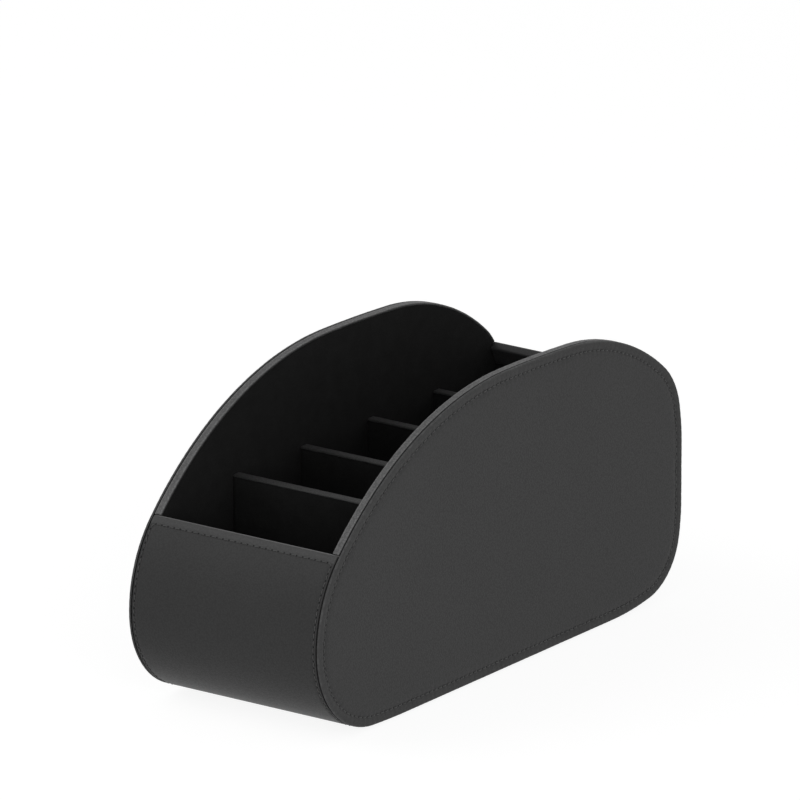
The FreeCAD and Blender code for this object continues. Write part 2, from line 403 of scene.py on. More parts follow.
# Painted shade in needle holes, creases and seams, and the paler colour and smoother finish of a
# painted highlight
HOLE_PAINTED_SHADE = 0.12
PAINTED_SHADE_LEVEL = 0.08
PAINTED_HIGHLIGHT_SHADE = 5.5
HIGHLIGHT_MARK_GLOSS = 0.12
CREASE_SHADE = 4.7
LEATHER_TINT = (1.0, 1.0, 1.005)
FIBRE_SCALE = 1900.0
MAT_SCALE = 160.0
NAP_DEPTH = 0.12
FUZZ_COLOUR = (0.3, 0.3, 0.3, 1.0)
FILAMENT_SCALE = 6000.0
FILAMENT_DEPTH = 0.05
PAPER_SCALE = 900.0
PAPER_DEPTH = 0.05
BOARD_DARK = (0.27, 0.24, 0.2, 1.0)
BOARD_PALE = (0.4, 0.37, 0.32, 1.0)


def new_material(name):
    """An empty material, with its node tree and its output node."""
    material = bpy.data.materials.new(name)
    material.use_nodes = True
    tree = material.node_tree
    tree.nodes.clear()
    output = tree.nodes.new("ShaderNodeOutputMaterial")
    return material, tree, output


def node(tree, kind, **inputs):
    """A node with some of its inputs set. An underscore stands for a space in an input's name."""
    made = tree.nodes.new(kind)
    for key, value in inputs.items():
        made.inputs[key.replace("_", " ")].default_value = value
    return made


def math_node(tree, operation, first, second):
    """The result of an operation on two values, each a number or an output."""
    made = tree.nodes.new("ShaderNodeMath")
    made.operation = operation
    for socket, value in zip(made.inputs, (first, second)):
        if isinstance(value, (int, float)):
            socket.default_value = value
        else:
            tree.links.new(value, socket)
    return made.outputs[0]


def ramp(tree, factor, low, high, low_at=0.0, high_at=1.0):
    """A value from low to high as the factor goes from low_at to high_at."""
    made = tree.nodes.new("ShaderNodeMapRange")
    tree.links.new(factor, made.inputs["Value"])
    made.inputs["From Min"].default_value = low_at
    made.inputs["From Max"].default_value = high_at
    made.inputs["To Min"].default_value = low
    made.inputs["To Max"].default_value = high
    return made.outputs["Result"]


def point_value(tree, name):
    """A number that the piece's points carry, or 0 where they don't."""
    made = tree.nodes.new("ShaderNodeAttribute")
    made.attribute_name = name
    return made.outputs["Fac"]


def object_point(tree):
    """The point in the object's own space."""
    return tree.nodes.new("ShaderNodeTexCoord").outputs["Object"]


def noise(tree, point, scale, detail, **inputs):
    """A noise texture at a point."""
    made = node(tree, "ShaderNodeTexNoise", Scale=scale, Detail=detail, **inputs)
    tree.links.new(point, made.inputs["Vector"])
    return made


def combined(tree, level, tint=(1.0, 1.0, 1.0)):
    """A colour from one level, with a share of it for red, green and blue."""
    colour = tree.nodes.new("ShaderNodeCombineColor")
    for socket, share in zip(colour.inputs, tint):
        tree.links.new(math_node(tree, "MULTIPLY", level, share), socket)
    return colour.outputs[0]


def surface(tree, output, colour, height, strength, depth):
    """The material's shader, with its colour and its bumps, their depth in millimetres."""
    bump = node(tree, "ShaderNodeBump", Strength=strength, Distance=depth * MM)
    tree.links.new(height, bump.inputs["Height"])
    shader = tree.nodes.new("ShaderNodeBsdfPrincipled")
    tree.links.new(colour, shader.inputs["Base Color"])
    tree.links.new(bump.outputs["Normal"], shader.inputs["Normal"])
    tree.links.new(shader.outputs[0], output.inputs["Surface"])
    return shader


def sewn_holes(tree):
    """1 in each needle hole of a marked stitch row, and 0 elsewhere and on unmarked pieces."""
    across = math_node(tree, "SUBTRACT", 1.0, point_value(tree, "near_row"))
    across = math_node(tree, "MULTIPLY", across, ROW_REACH)
    ahead = math_node(tree, "PINGPONG", point_value(tree, "stitches"), 0.5)
    ahead = math_node(tree, "MULTIPLY", ahead, STITCH_PITCH)
    apart = math_node(tree, "ADD", math_node(tree, "MULTIPLY", across, across),
                      math_node(tree, "MULTIPLY", ahead, ahead))
    return ramp(tree, apart, 1.0, 0.0, 0.35 * HOLE_RADIUS ** 2, 1.5 * HOLE_RADIUS ** 2)


def leather(name, shade, roughness, specular, grain_size, grain_depth):
    """Black synthetic leather: a pebble grain in creased cells, with a faint cloudiness."""
    material, tree, output = new_material(name)
    point = object_point(tree)

    wander = noise(tree, point, WANDER_SCALE, 2.0)
    bent = tree.nodes.new("ShaderNodeVectorMath")
    bent.operation = "MULTIPLY_ADD"
    tree.links.new(wander.outputs["Color"], bent.inputs[0])
    bent.inputs[1].default_value = (WANDER_REACH * MM,) * 3
    tree.links.new(point, bent.inputs[2])

    cells = node(tree, "ShaderNodeTexVoronoi", Scale=1.0 / (grain_size * MM), Randomness=1.0)
    cells.feature = "SMOOTH_F1"
    cells.inputs["Smoothness"].default_value = GRAIN_SMOOTHNESS
    tree.links.new(bent.outputs["Vector"], cells.inputs["Vector"])
    pores = noise(tree, point, PORE_SCALE, 2.0)
    clouds = noise(tree, point, CLOUD_SCALE, 3.0)

    crease = ramp(tree, cells.outputs["Distance"], 1.0, 0.0, 0.1, 0.75)
    pitted = math_node(tree, "MULTIPLY", pores.outputs[0], PORE_HEIGHT)
    height = math_node(tree, "ADD", crease, pitted)
    holes = sewn_holes(tree)
    height = math_node(tree, "SUBTRACT", height, math_node(tree, "MULTIPLY", holes, HOLE_DEPTH))

    # Painted light carried by the points: above 0 a painted highlight makes the colour paler and the
    # finish smoother, below 0 painted shade darkens it
    painted_light = point_value(tree, "painted_light")
    level = math_node(tree, "MULTIPLY", ramp(tree, crease, 1.0 - CREASE_SHADE * grain_depth, 1.05),
                      ramp(tree, clouds.outputs[0], 0.96, 1.04, *NOISE_RANGE))
    level = math_node(tree, "MULTIPLY", level, ramp(tree, painted_light, shade, PAINTED_HIGHLIGHT_SHADE * shade))
    level = math_node(tree, "MULTIPLY", level, ramp(tree, painted_light, PAINTED_SHADE_LEVEL, 1.0, -1.0, 0.0))
    # Painted shade in the needle holes
    level = math_node(tree, "MULTIPLY", level, ramp(tree, holes, 1.0, HOLE_PAINTED_SHADE))

    shader = surface(tree, output, combined(tree, level, LEATHER_TINT), height, 1.0, grain_depth)
    grain_gloss = ramp(tree, crease, roughness + 0.06, roughness - 0.03)
    gloss = math_node(tree, "SUBTRACT", grain_gloss, ramp(tree, painted_light, 0.0, HIGHLIGHT_MARK_GLOSS))
    tree.links.new(gloss, shader.inputs["Roughness"])
    shader.inputs["Specular IOR Level"].default_value = specular
    return material


def felt(name, shade, sheen):
    """Short-napped black felt: matted fibres with a little fuzz at a grazing angle."""
    material, tree, output = new_material(name)
    point = object_point(tree)
    fibres = noise(tree, point, FIBRE_SCALE, 5.0, Roughness=0.7, Distortion=1.6)
    mats = noise(tree, point, MAT_SCALE, 3.0)
    level = math_node(tree, "MULTIPLY", ramp(tree, fibres.outputs[0], 0.6, 1.45, *NOISE_RANGE),
                      ramp(tree, mats.outputs[0], 0.88, 1.12, *NOISE_RANGE))
    level = math_node(tree, "MULTIPLY", level, shade)
    shader = surface(tree, output, combined(tree, level), fibres.outputs[0], 0.8, NAP_DEPTH)
    shader.inputs["Roughness"].default_value = 0.95
    shader.inputs["Specular IOR Level"].default_value = 0.08
    shader.inputs["Sheen Weight"].default_value = sheen
    shader.inputs["Sheen Roughness"].default_value = 0.5
    shader.inputs["Sheen Tint"].default_value = FUZZ_COLOUR
    return material


def thread_finish(name, shade):
    """Black polyester thread: fine filaments with a soft gleam."""
    material, tree, output = new_material(name)
    filaments = noise(tree, object_point(tree), FILAMENT_SCALE, 2.0)
    level = ramp(tree, filaments.outputs[0], 0.7 * shade, 1.4 * shade, *NOISE_RANGE)
    shader = surface(tree, output, combined(tree, level), filaments.outputs[0], 0.6, FILAMENT_DEPTH)
    shader.inputs["Roughness"].default_value = 0.5
    return material


def pressed_board(name):
    """Grey-brown pressed board, with paper fibres and flecks."""
    material, tree, output = new_material(name)
    fibres = noise(tree, object_point(tree), PAPER_SCALE, 4.0, Distortion=0.8)
    mix = tree.nodes.new("ShaderNodeMix")
    mix.data_type = "RGBA"
    tree.links.new(ramp(tree, fibres.outputs[0], 0.0, 1.0, 0.35, 0.65), mix.inputs["Factor"])
    mix.inputs["A"].default_value = BOARD_DARK
    mix.inputs["B"].default_value = BOARD_PALE
    shader = surface(tree, output, mix.outputs["Result"], fibres.outputs[0], 0.4, PAPER_DEPTH)
    shader.inputs["Roughness"].default_value = 0.85
    return material


SIDE_LEATHER = leather("side_leather_finish", shade=0.0315, roughness=0.52, specular=0.22,
                       grain_size=0.75, grain_depth=0.03)
WRAP_LEATHER = leather("wrap_leather_finish", shade=0.0372, roughness=0.45, specular=0.15,
                       grain_size=0.75, grain_depth=0.03)
RIM_LEATHER = leather("rim_leather_finish", shade=0.118, roughness=0.58, specular=0.38,
                      grain_size=0.8, grain_depth=0.09)
STRIP_LEATHER = leather("divider_strip_finish", shade=0.031, roughness=0.55, specular=0.3,
                        grain_size=0.6, grain_depth=0.07)
FELT = felt("lining_felt", shade=0.0105, sheen=0.05)
PAD_FELT = felt("pad_felt", shade=0.014, sheen=0.06)
THREAD = thread_finish("thread", shade=0.036)
BOARD = pressed_board("pressed_board")


# Stitches

THREAD_RINGS = 9
THREAD_SIDES = 8
THREAD_LIFT = 0.17
THREAD_DIVE = 0.6
THREAD_SLANT = 0.1
THREAD_TWIST = 0.12
TWIST_PER_MM = 5.0
LENGTH_VARIES = 0.07
LIFT_VARIES = 0.035
SLANT_VARIES = 0.1
WIDTH_VARIES = 0.08
PULL_VARIES = 0.4


def hole_pull(travel, count):
    """About 1 at each stitch hole and 0 between, at distances along a closed row of stitches."""
    hole = np.round(np.asarray(travel, float) / STITCH_PITCH).astype(int)
    from_hole = np.abs(travel - hole * STITCH_PITCH)
    return (1.0 + PULL_VARIES * UNEVEN_PULL[hole % count]) * bell(from_hole, HOLE_WIDTH)


def thread_object(name, path, count, material):
    """Separate stitches along a path. path(travel) gives points, outward and sideways directions."""
    share = np.linspace(-1.0, 1.0, THREAD_RINGS)[None, :]
    length, rise, turn, width = (row[:count, None] for row in
                                 (UNEVEN_LENGTH, UNEVEN_RISE, UNEVEN_TURN, UNEVEN_WIDTH))
    middles = (np.arange(count)[:, None] + 0.5) * STITCH_PITCH
    travel = (middles + share * (1.0 + LENGTH_VARIES * length) * STITCH_LENGTH / 2).ravel()
    lift = (THREAD_LIFT + LIFT_VARIES * rise - THREAD_DIVE * np.abs(share) ** 2.6).ravel()
    slant = (share * (THREAD_SLANT + SLANT_VARIES * turn)).ravel()
    swell = THREAD_RADIUS * np.sqrt(np.clip(1.05 - np.abs(share) ** 4, 0.05, 1.0))
    swell = (swell * (1.0 + WIDTH_VARIES * width)).ravel()
    centre, outward, sideways = path(travel)
    centre = centre + outward * lift[:, None] + sideways * slant[:, None]
    around = np.arange(THREAD_SIDES) / THREAD_SIDES * 2 * math.pi
    twist = THREAD_TWIST * np.cos(2 * around[None, :] + travel[:, None] * TWIST_PER_MM)
    reach = swell[:, None] * (1 + twist)
    points = (centre[:, None, :]
              + outward[:, None, :] * (reach * np.cos(around))[..., None]
              + sideways[:, None, :] * (reach * np.sin(around))[..., None])
    faces = []
    for stitch in range(count):
        base = stitch * THREAD_RINGS * THREAD_SIDES
        for ring in range(THREAD_RINGS - 1):
            for k in range(THREAD_SIDES):
                a = base + ring * THREAD_SIDES + k
                b = base + ring * THREAD_SIDES + (k + 1) % THREAD_SIDES
                faces.append((a, b, b + THREAD_SIDES, a + THREAD_SIDES))
        last = base + (THREAD_RINGS - 1) * THREAD_SIDES
        faces.append(tuple(base + k for k in reversed(range(THREAD_SIDES))))
        faces.append(tuple(last + k for k in range(THREAD_SIDES)))
    return mesh_object(name, points, faces, material)


# Side covers

SIDE_STITCH_ROW = OUTLINE_LENGTH - 2 * math.pi * SIDE_STITCH_DEPTH
SIDE_STITCH_COUNT = int(round(SIDE_STITCH_ROW / STITCH_PITCH))


def side_stitch_travel(distance):
    """The place on the side cover's stitch row at distances along the outline.

    The row is stretched a little, so that it holds a whole number of stitches.
    """
    heading = along(distance)[2]
    row = distance - SIDE_STITCH_DEPTH * heading
    return row / SIDE_STITCH_ROW * SIDE_STITCH_COUNT * STITCH_PITCH


def side_cover_section():
    """Depth, height above the seam plane and share of the stitches' pull, from back to face."""
    thick = HALF_WIDTH - SEAM_X
    step = CREASE_X - SEAM_X
    roll = thick - step - SEAM_ROLL
    back = [(14.0, 0.0, 0.0), (5.0, 0.0, 0.0), (2.0, 0.0, 0.0), (1.7, 0.1, 0.0),
            (1.45, step, 0.0), (1.1, step, 0.05), (0.85, step, 0.1)]
    seam_roll = [(EDGE_INSET + SEAM_ROLL * (1 - math.sin(t)),
                  step + SEAM_ROLL * (1 - math.cos(t)), SEAM_ROLL_PULL)
                 for t in np.radians(np.linspace(0, 90, 7))]
    edge_roll = [(EDGE_INSET + roll * (1 - math.cos(t)),
                  thick - roll + roll * math.sin(t), EDGE_ROLL_PULL)
                 for t in np.radians(np.linspace(10, 90, 8))]
    pillow = [(1.2, thick, 0.35), (1.8, thick, 0.4), (2.4, thick - 0.01, 0.45)]
    channel = [(SIDE_STITCH_DEPTH + off, thick - drop, weight) for off, drop, weight in
               [(-1.3, 0.04, 0.6), (-0.8, 0.1, 0.8), (-0.4, 0.18, 0.95), (0.0, 0.22, 1.0),
                (0.4, 0.18, 0.95), (0.8, 0.1, 0.7), (1.4, 0.04, 0.4)]]
    face = [(6.8, thick - 0.01, 0.15), (8.5, thick, 0.0), (14.0, thick, 0.0)]
    return back + seam_roll + edge_roll + pillow + channel + face


def side_cover(name, side):
    """A side panel's leather: flat back, rolled edge, and a face with its sunk stitch row."""
    count = 4 * SIDE_STITCH_COUNT
    stations = np.arange(count) / count * OUTLINE_LENGTH
    travel = side_stitch_travel(stations)
    at_holes = hole_pull(travel, SIDE_STITCH_COUNT)
    turns = travel / (SIDE_STITCH_COUNT * STITCH_PITCH) * 2 * math.pi
    waves = sum(np.sin(number * turns + phase) for number, phase in SIDE_WAVE_KINDS)
    pull = SIDE_PULL * at_holes + SIDE_WAVE_HEIGHT * waves
    section = side_cover_section()
    loops = [place(stations, depth + SIDE_PULL_ALONG * weight * pull,
                   side * (SEAM_X + height - weight * pull))
             for depth, height, weight in section]
    cover = plate(name, loops, SIDE_LEATHER)

    depths, heights = np.array(section).T[:2]
    past_crease = heights - (CREASE_X - SEAM_X)
    # Painted glints on the rolled edge between the stitch holes, a little paler where it faces up,
    # and painted shade in the crease beside the wrap
    on_roll = bell(depths - EDGE_INSET - 0.1, 0.35) * (past_crease > -0.01)
    painted_shade = np.interp(depths, [0.65, 0.9], [0.0, PAINTED_CREASE_SHADE]) * (past_crease < 0.05)
    patch = 0.5 + 0.5 * UNEVEN_WIDTH[(travel // STITCH_PITCH).astype(int) % SIDE_STITCH_COUNT]
    between = 1.0 - np.clip(at_holes, 0.0, 1.0)
    upward = np.clip(-np.cos(along(stations)[2]), 0.0, 1.0)
    painted_highlight = SIDE_PAINTED_HIGHLIGHT + SIDE_PAINTED_GLINTS * patch * between + SIDE_PAINTED_TOP_LIGHT * upward
    mark(cover, "painted_light", painted_highlight[:, None] * on_roll[None, :] - painted_shade[None, :])
    off = np.where(past_crease > 0.1, np.abs(depths - SIDE_STITCH_DEPTH), ROW_REACH)
    mark_row(cover, *np.broadcast_arrays(off[None, :], travel[:, None]))
    return cover


def side_stitch_path(side):
    """The side cover's stitch row, for thread_object."""
    fine = np.linspace(0.0, OUTLINE_LENGTH, 4001)
    fine_travel = side_stitch_travel(fine)
    start = fine_travel[0]

    def path(travel):
        """Points, outward and sideways directions at places along the row."""
        distance = np.interp(travel + start - start % STITCH_PITCH, fine_travel, fine,
                             period=SIDE_STITCH_COUNT * STITCH_PITCH)
        heading = along(distance)[2]
        centre = place(distance, SIDE_STITCH_DEPTH, side * (HALF_WIDTH - SIDE_THREAD_SINK))
        outward = np.tile([side * 1.0, 0.0, 0.0], (len(travel), 1))
        inward = np.stack([0 * heading, -np.sin(heading), np.cos(heading)], axis=-1)
        return centre, outward, inward

    return path


for side, side_name in SIDES:
    cover = side_cover("side_cover_" + side_name, side)
    finish_piece(cover, "side_leather", "side_leather_" + side_name)
    thread = thread_object("side_thread_" + side_name, side_stitch_path(side),
                           SIDE_STITCH_COUNT, THREAD)
    finish_piece(thread, "side_leather")


# Wrap cover

def wrap_path():
    """Distance along the outline and depth, from inside the front wall to inside the back."""
    bend = FOLD_RADIUS - LIP_PROUD
    fold = [(FRONT_LIP + s, d) for s, d in
            [(TURN_IN_END, TURN_IN_INSIDE - 0.15), (8.7, TURN_IN_INSIDE), (6.0, TURN_IN_INSIDE),
             (3.0, TURN_IN_INSIDE)]
            + arc((bend, TURN_IN_INSIDE - FOLD_RADIUS), FOLD_RADIUS, 90, 180, 6)
            + [(-LIP_PROUD, LIP_MIDDLE_DEPTH)]
            + arc((bend, WRAP_OUTSIDE + FOLD_RADIUS), FOLD_RADIUS, 180, 270, 9)]
    first = fold[-1][0]
    last = WRAP_END - bend
    near_lip = ROW_STEP_AT_LIP * np.arange(1, ROWS_AT_LIP + 1)
    margin = ROW_STEP_AT_LIP * (ROWS_AT_LIP + 1)
    count = int(round((last - first - 2 * margin) / ROW_STEP))
    middle = np.linspace(first + margin, last - margin, count + 1)
    rows = np.concatenate([first + near_lip, middle, last - near_lip[::-1]])
    face = [(s, WRAP_OUTSIDE) for s in rows]
    back_fold = [(FRONT_LIP + WRAP_END - s, d) for s, d in reversed(fold)]
    return np.array(fold + face + back_fold)


def wrap_columns():
    """Places across the wrap, close together where the seam bends and at the stitch rows."""
    from_crease = np.array([0.2, 0.42, 0.5, 0.56, 0.62, 0.68, 0.76, 0.9, 1.05, 1.25, 1.45, 1.65,
                            1.85, 2.05, 2.3, 2.6, 2.95, 3.4, 4.0, 4.6])
    edge = CREASE_X - from_crease
    count = int(round(2 * EVEN_COLUMNS_X / (STITCH_PITCH / 2)))
    inner = np.linspace(EVEN_COLUMNS_X, -EVEN_COLUMNS_X, count + 1)
    return np.concatenate([edge, inner, -edge[::-1]])


def wrap_stitch_loop():
    """Points (distance, x) on the wrap's closed stitch row, and how far along it they lie."""
    side_x = CREASE_X - WRAP_STITCH_FROM_CREASE
    front = FRONT_LIP + WRAP_STITCH_FROM_LIP
    back = WRAP_END - WRAP_STITCH_FROM_LIP
    r = WRAP_STITCH_CORNER
    under_base = [(OUTLINE_LENGTH + BASE_LENGTH / 2, side_x)]
    knots = list(under_base)
    for distance, x, start in ((front + r, side_x - r, 90), (front + r, r - side_x, 180),
                               (back - r, r - side_x, 270), (back - r, side_x - r, 0)):
        knots += arc((distance, x), r, start, start + 90, 12)
    knots = np.array(knots + under_base)
    lengths = np.concatenate([[0.0], np.cumsum(np.hypot(*np.diff(knots, axis=0).T))])
    steps = np.linspace(0.0, lengths[-1], int(lengths[-1] * LOOP_STEPS_PER_MM) + 1)
    return np.stack([np.interp(steps, lengths, knots[:, 0]),
                     np.interp(steps, lengths, knots[:, 1])], axis=-1), steps


# The row is stretched a little, so that it holds a whole number of stitches.
WRAP_LOOP, WRAP_TRAVEL = wrap_stitch_loop()
WRAP_STITCH_COUNT = int(round(WRAP_TRAVEL[-1] / STITCH_PITCH))
WRAP_TRAVEL = WRAP_TRAVEL / WRAP_TRAVEL[-1] * WRAP_STITCH_COUNT * STITCH_PITCH


def wrap_row(distance, x):
    """How far points (distance, x) are from the wrap's stitch row, and the place along it."""
    tree = KDTree(len(WRAP_LOOP))
    for i, (a, b) in enumerate(WRAP_LOOP):
        tree.insert((a, b, 0.0), i)
    tree.balance()
    off = np.zeros(distance.shape)
    nearest = np.zeros(distance.shape, int)
    for index in np.ndindex(distance.shape):
        nearest[index], off[index] = tree.find((distance[index], x[index], 0.0))[1:]
    return off, WRAP_TRAVEL[nearest]


def wrap_cover():
    """One sheet of leather: turned in over the front lip, round the outside and over the back."""
    path = wrap_path()
    columns = wrap_columns()
    direction = np.gradient(path, axis=0)
    direction /= np.linalg.norm(direction, axis=1)[:, None]
    inward = np.stack([-direction[:, 1], direction[:, 0]], axis=-1)

    distance, depth, across = np.broadcast_arrays(path[:, :1], path[:, 1:], columns[None, :])
    narrow = np.interp(depth, [0.8, 1.25], [1.0, LINING_INNER_X / CREASE_X])
    x = across * narrow
    outside = np.interp(depth, [WRAP_OUTSIDE, BOARD_OUTSIDE], [1.0, 0.0])

    from_seam = CREASE_X - np.abs(columns)
    past = np.clip((SEAM_SLOT + SEAM_BEND - from_seam) / SEAM_BEND, 0.0, 1.0)
    seam_drop = SEAM_DROP * past * past * (3 - 2 * past)
    from_lip = np.minimum(distance - FRONT_LIP, WRAP_END - distance) + LIP_PROUD
    lip_swell = LIP_SWELL * bell(from_lip - LIP_SWELL_AT, LIP_SWELL_REACH)
    lip_round = LIP_ROUNDING * np.clip(1 - from_lip / LIP_ROUNDING_REACH, 0.0, 1.0) ** 2
    off, travel = wrap_row(distance, across)
    pull = WRAP_PULL * hole_pull(travel, WRAP_STITCH_COUNT) * bell(off, WRAP_PULL_REACH)
    dent = WRAP_DENT * bell(off, WRAP_DENT_REACH) + pull
    push = (seam_drop[None, :] + dent + lip_round - lip_swell) * outside

    outer = place(distance + inward[:, :1] * push, depth + inward[:, 1:] * push, x)
    under = np.maximum(LEATHER_SHEET, push + 0.1)
    inner = place(distance + inward[:, :1] * under, depth + inward[:, 1:] * under, x * 0.9995)
    cover = sheet_body("wrap_cover", outer, inner, WRAP_LEATHER)

    # Painted highlight on the crown of the lip's fold and on the band above the stitch row, and
    # painted shade in the seam's slot
    crown = bell(from_lip - LIP_CROWN_AT, LIP_CROWN_REACH)
    above_row = (WRAP_STITCH_FROM_LIP + LIP_PROUD + 0.3 - from_lip) / 0.6
    painted_highlight = np.maximum(crown, LIP_PAINTED_HIGHLIGHT * np.clip(above_row, 0.0, 1.0))
    painted_light = painted_highlight * (depth < FOLD_RADIUS) - PAINTED_CREASE_SHADE * (past * past)[None, :]
    mark(cover, "painted_light", np.stack([painted_light, 0 * painted_light]))
    off = np.where(depth < FOLD_RADIUS, off, ROW_REACH)
    mark_row(cover, np.stack([off, np.full_like(off, ROW_REACH)]), np.stack([travel, travel]))
    return cover


def wrap_stitch_path(travel):
    """The wrap's stitch row, for thread_object."""
    def centre_at(travel):
        """Points on the row, sunk a little into the leather."""
        return place(np.interp(travel, WRAP_TRAVEL, WRAP_LOOP[:, 0]),
                     WRAP_OUTSIDE + WRAP_THREAD_SINK,
                     np.interp(travel, WRAP_TRAVEL, WRAP_LOOP[:, 1]))

    centre = centre_at(travel)
    heading = along(np.interp(travel, WRAP_TRAVEL, WRAP_LOOP[:, 0]))[2]
    outward = np.stack([0 * heading, np.sin(heading), -np.cos(heading)], axis=-1)
    sideways = np.cross(outward, centre_at(travel + 0.1) - centre)
    sideways /= np.maximum(np.linalg.norm(sideways, axis=1), 1e-9)[:, None]
    return centre, outward, sideways


finish_piece(wrap_cover(), "wrap_leather", "wrap_leather")
finish_piece(thread_object("wrap_thread", wrap_stitch_path, WRAP_STITCH_COUNT, THREAD),
             "wrap_leather")


# Rim covers

def rim_section():
    """Place across the holder and depth, from the lining round the top to the side cover."""
    lining_side = [(LINING_INNER_X + 0.02, 1.28), (LINING_INNER_X - 0.02, 0.95)]
    lining_corner = [(LINING_INNER_X + RIM_CORNER - 0.02 - RIM_CORNER * math.cos(t),
                      0.77 - RIM_CORNER * math.sin(t)) for t in np.radians(np.linspace(10, 90, 6))]
    top = [(42.8, 0.27), (43.6, 0.25), (44.3, 0.26)]
    cover_side = [(RIM_OUTER_X - inset, drop) for inset, drop in
                  [(0.6, 0.28), (0.3, 0.33), (0.15, 0.43), (0.06, 0.6), (0.02, 0.85), (0.0, 1.15)]]
    return np.array(lining_side + lining_corner + top + cover_side)


def rim_cover(name, side):
    """Leather strip folded over the top edge of a side panel, between the lips."""
    stations = np.linspace(BACK_LIP + LIP_PROUD + RIM_GAP, FRONT_LIP - LIP_PROUD - RIM_GAP, 360)
    uneven = RIM_UNEVEN * np.sin(stations * 0.9) * np.sin(stations * 0.31 + 1.0)
    distance, x, drop = np.broadcast_arrays(stations[:, None], *rim_section().T[:, None, :])
    middle = (LINING_INNER_X + RIM_OUTER_X) / 2
    outer = place(distance, drop + uneven[:, None], side * x)
    inner = place(distance, RIM_UNDERSIDE, side * (middle + 0.97 * (x - middle)))
    cover = sheet_body(name, outer, inner, RIM_LEATHER)

    # Painted shade in the crease beside the side cover and where the strip turns down to the lining,
    # and a painted highlight along each shoulder
    at_cover = np.interp(x, [RIM_OUTER_X - 0.3, RIM_OUTER_X - 0.1], [0.0, PAINTED_CREASE_SHADE])
    at_lining = np.interp(drop, [0.45, 0.75], [0.0, RIM_INSIDE_PAINTED_SHADE]) * (x < middle)
    from_shoulder = np.abs(x - middle) - (RIM_OUTER_X - middle) + RIM_PAINTED_HIGHLIGHT_AT
    painted_highlight = RIM_PAINTED_HIGHLIGHT * bell(from_shoulder, RIM_PAINTED_HIGHLIGHT_REACH)
    painted_light = painted_highlight - np.maximum(at_cover, at_lining)
    mark(cover, "painted_light", np.stack([painted_light, 0 * painted_light]))
    return cover


for side, side_name in SIDES:
    finish_piece(rim_cover("rim_cover_" + side_name, side), "rim_leather", "rim_strip_" + side_name)


# Linings, and the leather strips on the dividers

def side_felt(name, side):
    """Lining of a side panel: under the rim strip, and inside the walls below the lips."""
    stations = np.linspace(0.0, OUTLINE_LENGTH, 901)[:-1]
    open_rim = (stations > BACK_LIP - 1.0) & (stations < FRONT_LIP + 1.0)
    edge = np.where(open_rim, BOARD_OUTSIDE, BOARD_INSIDE)
    loops = [place(stations, edge + inset, side * x) for inset, x in
             ((8.0, SIDE_FELT_OUTER_X), (0.02, SIDE_FELT_OUTER_X),
              (0.02, LINING_INNER_X + 0.15), (0.1, LINING_INNER_X + 0.03),
              (0.3, LINING_INNER_X), (2.0, LINING_INNER_X), (8.0, LINING_INNER_X))]
    return plate(name, loops, FELT)


def wrap_felt():
    """Lining of the front wall, the floor and the back wall."""
    distance = np.linspace(FRONT_LIP + TURN_IN_END + 0.05, WRAP_END - TURN_IN_END - 0.05, 380)
    x = np.linspace(-LINING_INNER_X, LINING_INNER_X, 9)
    return sheet_body("wrap_felt", place(distance[:, None], LINING_INSIDE, x),
                      place(distance[:, None], BOARD_INSIDE + 0.03, x), FELT)


def both_faces(profile):
    """A divider's cross-section, from one face's points (y, z) and their mirror image."""
    return np.array(profile + [(-a, z) for a, z in reversed(profile)])


def across_holder(columns, y, profile, lift):
    """A grid of points: a divider's profile, set at y, at each place across, and lifted."""
    points = np.zeros((len(columns), len(profile), 3))
    points[:, :, 0] = columns[:, None]
    points[:, :, 1] = y + profile[None, :, 0]
    points[:, :, 2] = profile[None, :, 1] + lift
    return points


def divider_felt(name, y, floor):
    """Lining folded over a divider: up one face, round over the top and down the other."""
    half = DIVIDER_THICKNESS / 2
    bend = DIVIDER_TOP - FELT_FOLD
    inside = FELT_FOLD - FELT_THICKNESS
    heights = np.linspace(floor, bend, 14)[:-1]
    outer = both_faces([(-half, z) for z in heights]
                       + arc((FELT_FOLD - half, bend), FELT_FOLD, 180, 90, 7))
    inner = both_faces([(FELT_THICKNESS - half, z) for z in heights]
                       + [(FELT_THICKNESS - half + inside * max(t - 1.0, 0.0),
                           bend + inside * min(t, 1.0)) for t in np.linspace(0.0, 2.0, 7)])
    columns = np.linspace(-LINING_INNER_X, LINING_INNER_X, 57)
    sag = FELT_WAVE * np.sin(columns * 0.21 + y) - FELT_SAG
    top = np.clip((outer[:, 1] - DIVIDER_TOP + FELT_SAG_REACH) / FELT_SAG_REACH, 0.0, 1.0)
    return sheet_body(name, across_holder(columns, y, outer, sag[:, None] * top[None, :]),
                      across_holder(columns, y, inner, 0.0), FELT)


def divider_strip(name, y):
    """Narrow leather strip folded over a divider's top edge, its lower edges a little uneven."""
    reach = DIVIDER_THICKNESS / 2 + STRIP_PROUD
    top = DIVIDER_TOP + STRIP_RISE
    foot = top - STRIP_DROP
    bend = (STRIP_FOLD - reach, top - STRIP_FOLD)
    within = STRIP_THICKNESS - reach
    outer = both_faces([(0.12 - reach, foot - 0.05), (-reach, foot + 0.1)]
                       + arc(bend, STRIP_FOLD, 180, 90, 8))
    inner = both_faces([(within, foot - 0.05), (within, foot + 0.1)]
                       + arc(bend, STRIP_FOLD - STRIP_THICKNESS, 180, 90, 8))
    columns = np.linspace(0.02 - LINING_INNER_X, LINING_INNER_X - 0.02, 113)
    uneven = 0.06 * np.sin(columns * 0.37 + y) + 0.04 * np.sin(columns * 0.9 + 2 * y)

    def grid(profile):
        """The profile across the holder, uneven towards its foot."""
        low = np.clip((top - profile[:, 1]) / STRIP_DROP, 0.0, 1.0) ** 2
        return across_holder(columns, y, profile, uneven[:, None] * low[None, :])

    return sheet_body(name, grid(outer), grid(inner), STRIP_LEATHER)


